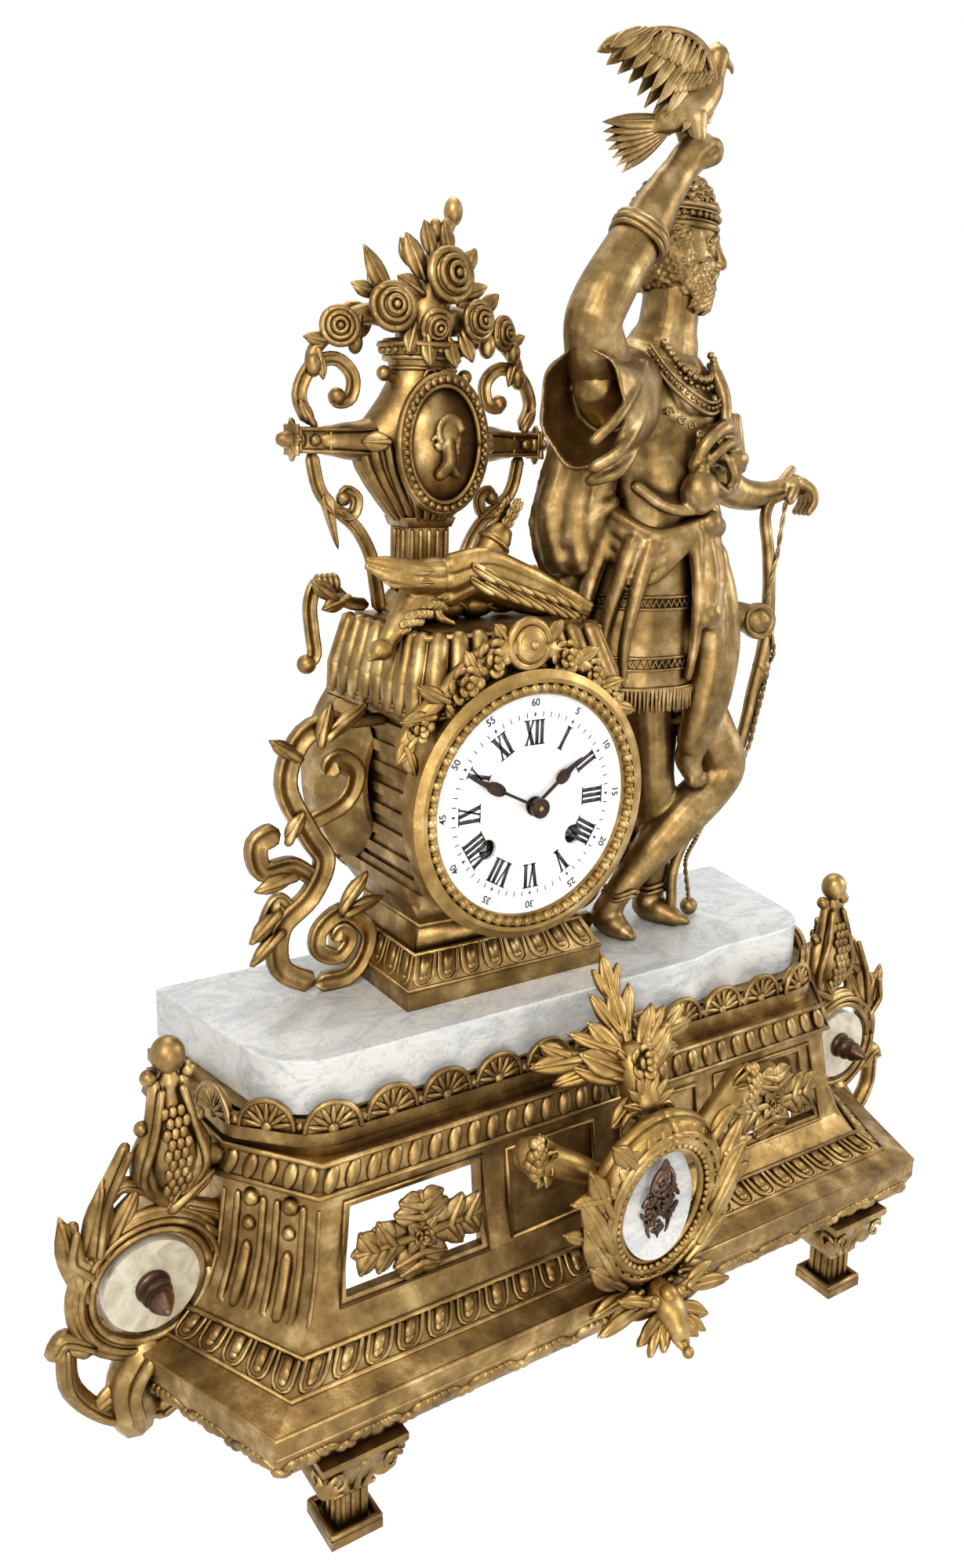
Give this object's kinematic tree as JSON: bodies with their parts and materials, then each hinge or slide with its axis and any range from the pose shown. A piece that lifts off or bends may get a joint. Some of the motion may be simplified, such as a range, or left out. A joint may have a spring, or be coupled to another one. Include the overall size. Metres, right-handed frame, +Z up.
{
  "type": "figural clock",
  "caption": "Gilt figural mantel clock with an archer and falcon, an urn over a round enamel dial, a marble slab and a pierced base on four feet.",
  "frame": {"origin": "middle of the footprint at the height of the foot bottoms", "axes": "+X to the right seen from the dial side, +Y to the back, +Z up; the dial faces -Y"},
  "size_m": [0.4766, 0.186, 0.592],
  "materials": {
    "gilt_bronze": "satin",
    "bright_gilt": "satin",
    "figure_gilt": "satin",
    "white_marble": "polished",
    "onyx": "polished",
    "copper_bronze": "satin",
    "white_enamel": "gloss",
    "dark_steel": "satin",
    "steel": "satin",
    "movement_brass": "satin",
    "bell_metal": "polished"
  },
  "bodies": {
    "clock_frame": {"base_casting": "gilt_bronze", "window_plaques": "gilt_bronze", "gallery_rail": "gilt_bronze", "marble_slab": "white_marble", "feet": "gilt_bronze", "foot_screws": "steel", "fixing_rods": "steel", "cartouche_frame": "bright_gilt", "cartouche_plaque": "white_marble", "cartouche_ornament": "copper_bronze", "cartouche_crest": "bright_gilt", "cartouche_pendant": "bright_gilt", "side_ornament_left": "gilt_bronze", "side_ornament_right": "gilt_bronze", "onyx_discs": "onyx", "disc_knobs": "copper_bronze", "case_plinth": "gilt_bronze", "case_body": "gilt_bronze", "case_cap": "gilt_bronze", "rear_drum": "gilt_bronze", "bezel_ring": "bright_gilt", "dial": "white_enamel", "front_plate": "movement_brass", "back_plate": "movement_brass", "plate_pillars": "movement_brass", "bell": "bell_metal", "case_scroll_left": "gilt_bronze", "case_scroll_right": "gilt_bronze", "bezel_garland": "bright_gilt", "trophy": "bright_gilt", "urn_stem": "gilt_bronze", "urn_body": "gilt_bronze", "urn_medallion": "gilt_bronze", "urn_scrolls": "gilt_bronze", "bouquet": "gilt_bronze", "figure_body": "figure_gilt", "figure_head": "figure_gilt", "raised_arm": "figure_gilt", "bow_arm": "figure_gilt", "falcon": "figure_gilt", "bow": "figure_gilt", "bowstring": "figure_gilt"},
    "minute_arbor": {"centre_arbor": "movement_brass", "minute_hand": "dark_steel", "hand_nut": "dark_steel"},
    "hour_arbor": {"hour_wheel": "movement_brass", "hour_hand": "dark_steel"},
    "minute_wheel_body": {"minute_wheel": "movement_brass"},
    "intermediate_arbor": {"intermediate_wheel": "movement_brass"},
    "third_arbor": {"third_wheel": "movement_brass"},
    "escape_arbor": {"escape_wheel": "movement_brass"},
    "going_barrel_body": {"going_barrel": "movement_brass"},
    "strike_barrel_body": {"strike_barrel": "movement_brass"},
    "going_winder": {"winding_arbor_going": "steel"},
    "strike_winder": {"winding_arbor_strike": "steel"},
    "pendulum_body": {"pallet_crutch": "steel", "pendulum": "movement_brass"},
    "hammer_body": {"hammer": "steel"},
    "rating_body": {"rating_arbor": "steel"},
    "door": {"rear_door": "gilt_bronze"}
  },
  "joints": [
    {"name": "minute_turn", "type": "hinge", "parent": "clock_frame", "child": "minute_arbor", "pos_m": [-0.0303, 0.029, 0.2715], "axis": [0, 1, 0], "continuous": true},
    {"name": "hour_turn", "type": "hinge", "parent": "clock_frame", "child": "hour_arbor", "pos_m": [-0.0303, 0.029, 0.2715], "axis": [0, 1, 0], "continuous": true},
    {"name": "minute_wheel_turn", "type": "hinge", "parent": "clock_frame", "child": "minute_wheel_body", "pos_m": [-0.0303, 0.029, 0.2595], "axis": [0, 1, 0], "continuous": true},
    {"name": "intermediate_turn", "type": "hinge", "parent": "clock_frame", "child": "intermediate_arbor", "pos_m": [-0.01385, 0.029, 0.27149], "axis": [0, 1, 0], "continuous": true},
    {"name": "third_turn", "type": "hinge", "parent": "clock_frame", "child": "third_arbor", "pos_m": [-0.03995, 0.029, 0.28359], "axis": [0, 1, 0], "continuous": true},
    {"name": "escape_turn", "type": "hinge", "parent": "clock_frame", "child": "escape_arbor", "pos_m": [-0.0303, 0.029, 0.293], "axis": [0, 1, 0], "continuous": true},
    {"name": "going_barrel_turn", "type": "hinge", "parent": "clock_frame", "child": "going_barrel_body", "pos_m": [-0.008, 0.029, 0.255], "axis": [0, 1, 0], "continuous": true},
    {"name": "strike_barrel_turn", "type": "hinge", "parent": "clock_frame", "child": "strike_barrel_body", "pos_m": [-0.0526, 0.029, 0.255], "axis": [0, 1, 0], "range_deg": [0, 1620]},
    {"name": "going_winding", "type": "hinge", "parent": "clock_frame", "child": "going_winder", "pos_m": [-0.008, 0.029, 0.255], "axis": [0, 1, 0], "range_deg": [0, 1620]},
    {"name": "strike_winding", "type": "hinge", "parent": "clock_frame", "child": "strike_winder", "pos_m": [-0.0526, 0.029, 0.255], "axis": [0, 1, 0], "range_deg": [0, 1620]},
    {"name": "pendulum_swing", "type": "hinge", "parent": "clock_frame", "child": "pendulum_body", "pos_m": [-0.0303, 0.029, 0.305], "axis": [0, 1, 0], "range_deg": [-4, 4]},
    {"name": "hammer_strike", "type": "hinge", "parent": "clock_frame", "child": "hammer_body", "pos_m": [-0.0563, 0.029, 0.2445], "axis": [0, -1, 0], "range_deg": [0, 10]},
    {"name": "rating_turn", "type": "hinge", "parent": "clock_frame", "child": "rating_body", "pos_m": [-0.0303, 0.029, 0.3229], "axis": [0, 1, 0], "range_deg": [-900, 900]},
    {"name": "door_opening", "type": "hinge", "parent": "clock_frame", "child": "door", "pos_m": [-0.0838, 0.091, 0.2715], "axis": [0, 0, 1], "range_deg": [0, 110]}
  ],
  "couplings": [
    {"joint": "hour_turn", "follows": "minute_turn", "ratio": 0.083333},
    {"joint": "minute_wheel_turn", "follows": "minute_turn", "ratio": -0.33333},
    {"joint": "intermediate_turn", "follows": "minute_turn", "ratio": -0.16667},
    {"joint": "going_barrel_turn", "follows": "minute_turn", "ratio": 0.027778},
    {"joint": "third_turn", "follows": "minute_turn", "ratio": -12},
    {"joint": "escape_turn", "follows": "minute_turn", "ratio": 120}
  ]
}
